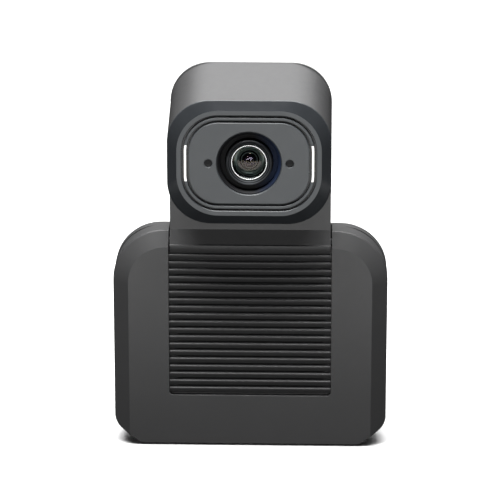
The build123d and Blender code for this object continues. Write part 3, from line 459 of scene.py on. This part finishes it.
def finishes():
    """Every finish by the name of the material slot or of the one node that takes it."""
    return {
        "housing_plastic": moulded("housing_plastic_finish", HOUSING, 0.42),
        "face_plastic": moulded("face_plastic_finish", FACE, 0.38, grain=0.000012, scale=3600.0),
        "face_bezel": moulded("face_bezel_finish", FACE, 0.38, grain=0.000012, scale=3600.0, slope=BEVEL),
        "black_plastic": moulded("black_plastic_finish", BLACK, 0.3, grain=0.00001, scale=3600.0),
        "lens_metal": turned("lens_metal_finish", BARREL_ZONES_AND_PAINTED_REFLECTIONS, 0.34),
        "ring_metal": turned("ring_metal_finish", RING_ZONES, 0.26, metallic=1.0),
        "lens_glass": clear_glass("lens_glass_finish", (0.97, 0.99, 0.98), film=100.0, gloss=0.03),
        "inner_glass": deep_glass("inner_glass_finish", IRIS_ZONES_AND_PAINTED_REFLECTIONS),
        "lens_shroud": well_black("lens_shroud_finish"),
        "filter_glass": clear_glass("filter_glass_finish", (0.5, 0.75, 0.75), film=160.0),
        "light_diffuser": lit_diffuser("light_diffuser_finish"),
        "lamp_package": moulded("lamp_package_finish", (0.7, 0.65, 0.4), 0.3),
        "woven_screen": woven("woven_screen_finish", (0.035, 0.035, 0.037)),
        "circuit_board": board("circuit_board_finish"),
        "chip_package": moulded("chip_package_finish", (0.018, 0.018, 0.02), 0.55),
        "thermal_silicone": moulded("thermal_silicone_finish", (0.25, 0.3, 0.38), 0.75),
        "cast_aluminium": machined("cast_aluminium_finish", (0.6, 0.6, 0.61), 0.42, grain=0.00002),
        "sheet_steel": machined("sheet_steel_finish", (0.42, 0.42, 0.41), 0.38, stretch=ALONG_X),
        "io_plate": machined("io_plate_finish", (0.03, 0.03, 0.031), 0.45, stretch=ALONG_X, metallic=0.3),
        "fastener_steel": machined("fastener_steel_finish", (0.045, 0.045, 0.047), 0.35),
        "plated_brass": machined("plated_brass_finish", (0.62, 0.47, 0.24), 0.3),
        "connector_metal": machined("connector_metal_finish", (0.6, 0.59, 0.57), 0.26, stretch=ALONG_Y),
        "foot_rubber": moulded("foot_rubber_finish", (0.02, 0.02, 0.02), 0.82, grain=0.00003, scale=1800.0),
        "cable_film": moulded("cable_film_finish", (0.28, 0.12, 0.03), 0.3, scale=900.0),
    }


def dress():
    """Gives every CAD node its own finish, or else the finish of its material slot."""
    ready = finishes()
    for name, item in nodes.items():
        for slot in item.material_slots:
            slot.material = ready.get(name) or ready[slot.material.name.split(".")[0]]


# ---------------------------------------------------------------- studio

MIDDLE = (0.0, 0.0, 0.1)            # where the high lights and the catch light point

# Name, width and height, watts, place.
HIGH_LIGHTS = (
    ("ceiling_light", (1.2, 1.2), 30.0, (0.0, 0.0, 1.4)),
    ("rear_top_light", (1.6, 0.8), 8.0, (0.1, 1.1, 1.1)),
    ("high_back_light", (1.0, 0.6), 2.6, (0.05, 0.6, 1.4)),
    ("high_front_light", (0.6, 0.4), 10.0, (-0.05, -0.3, 1.4)),
    ("left_key_light", (0.5, 0.5), 7.5, (-0.5, -0.3, 1.35)),
    ("right_key_light", (0.5, 0.5), 3.5, (0.5, -0.3, 1.35)),
)
AIR_COLOUR = (0.95, 0.97, 1.0, 1.0)
AIR_STRENGTH = 0.01
PAPER = ((0.86, 0.86, 0.86), (0.88, 0.88, 0.88))


def softbox(name, size, power, place, aim):
    """A rectangular area light at place that points at aim."""
    light = bpy.data.lights.new(name, "AREA")
    light.shape = "RECTANGLE"
    light.size = size[0]
    light.size_y = size[1]
    light.energy = power
    item = bpy.data.objects.new(name, light)
    bpy.context.collection.objects.link(item)
    item.location = place
    item.rotation_euler = (Vector(aim) - Vector(place)).to_track_quat("-Z", "Y").to_euler()
    return item


def make_floor(z):
    """A pale round sweep: a flat floor whose edge curves up into a wall all round."""
    flat, rise, reach, sides, steps = 1.7, 0.9, 1.2, 72, 12
    profile = [(flat - 0.1, 0.0), (flat, 0.0)]
    for step in range(1, steps + 1):
        turn = math.pi / 2 * step / steps
        profile.append((flat + rise * math.sin(turn), rise * (1 - math.cos(turn))))
    profile.append((flat + rise, rise + reach))
    verts = []
    for radius, height in profile:
        for side in range(sides):
            angle = 2 * math.pi * side / sides
            verts.append((radius * math.cos(angle), radius * math.sin(angle), z + height))
    faces = [tuple(range(sides))]
    for ring in range(len(profile) - 1):
        for side in range(sides):
            low, near = ring * sides, (side + 1) % sides
            faces.append((low + side, low + sides + side, low + sides + near, low + near))
    mesh = bpy.data.meshes.new("sweep")
    mesh.from_pydata(verts, [], faces)
    for face in mesh.polygons:
        face.use_smooth = True
    item = bpy.data.objects.new("sweep", mesh)
    bpy.context.collection.objects.link(item)
    tree = Tree("sweep_paper")
    tree.colour(tree.tint(tree.noise(3.0), *PAPER))
    tree.roughness(tree.spread(tree.noise(40.0), 0.85, 0.95))
    tree.set(Specular_IOR_Level=0.1)
    item.data.materials.append(tree.material)
    return item


def make_studio():
    """Softboxes overhead, a weak fill low in front, and a floor that stays out of reflections."""
    sweep = make_floor(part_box("rubber_feet")[0][2])
    sweep.visible_diffuse = False
    sweep.visible_glossy = False
    sweep.visible_transmission = False
    for name, size, power, place in HIGH_LIGHTS:
        softbox(name, size, power, place, MIDDLE)
    fill = softbox("front_fill_light", (0.34, 0.16), 2.0, (0.0, -1.1, 0.06), (0.0, 0.0, 0.06))
    fill.visible_transmission = False
    softbox("catch_light", (0.05, 0.05), 0.6, (0.03, -1.2, 0.22), MIDDLE)
    bounce = softbox("floor_bounce_light", (0.7, 0.3), 1.1, (0.0, -0.35, 0.002), (0.0, -0.3, 1.0))
    bounce.visible_camera = False
    world = bpy.data.worlds.new("studio_air")
    world.use_nodes = True
    air = world.node_tree.nodes["Background"]
    air.inputs["Color"].default_value = AIR_COLOUR
    air.inputs["Strength"].default_value = AIR_STRENGTH
    bpy.context.scene.world = world
    settings = bpy.context.scene.view_settings
    settings.view_transform = "Standard"
    settings.look = "None"


make_camera()
dress()
make_studio()
